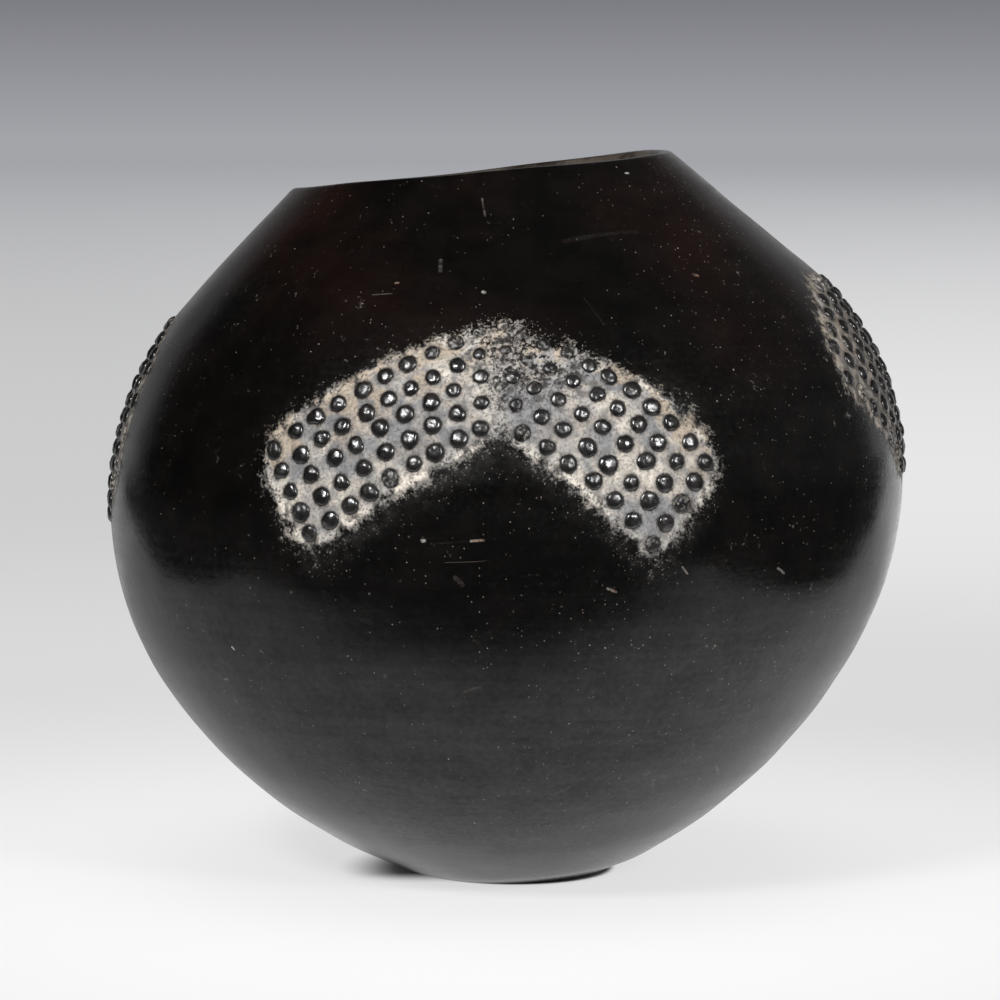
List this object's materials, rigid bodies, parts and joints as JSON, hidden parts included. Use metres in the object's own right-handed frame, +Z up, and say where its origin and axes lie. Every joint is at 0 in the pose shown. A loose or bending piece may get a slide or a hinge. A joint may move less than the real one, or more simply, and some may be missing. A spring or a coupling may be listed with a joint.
{
  "type": "clay beer pot",
  "caption": "Round burnished black clay beer pot with a narrow plain mouth, a small flat foot and panels of raised clay pellets, for brewing, holding and serving drink.",
  "frame": {"origin": "centre of the flat foot, on the floor", "axes": "+Z up, -Y toward the front chevron, +X to the right as seen from the front, and the pot's axis leans toward -X"},
  "size_m": [0.3019, 0.3, 0.2721],
  "materials": {
    "burnished_clay": "burnished",
    "pellet_clay": "burnished"
  },
  "bodies": {
    "root": {"base_pad": "burnished_clay", "lower_coil_1": "burnished_clay", "lower_coil_2": "burnished_clay", "lower_coil_3": "burnished_clay", "lower_coil_4": "burnished_clay", "belly_coil_1": "burnished_clay", "belly_coil_2": "burnished_clay", "belly_coil_3": "burnished_clay", "shoulder_coil_1": "burnished_clay", "shoulder_coil_2": "burnished_clay", "shoulder_coil_3": "burnished_clay", "rim_coil": "burnished_clay", "front_left_arm_pellets": "pellet_clay", "front_right_arm_pellets": "pellet_clay", "back_left_arm_pellets": "pellet_clay", "back_right_arm_pellets": "pellet_clay", "right_side_pellets": "pellet_clay", "left_side_pellets": "pellet_clay"}
  },
  "joints": []
}
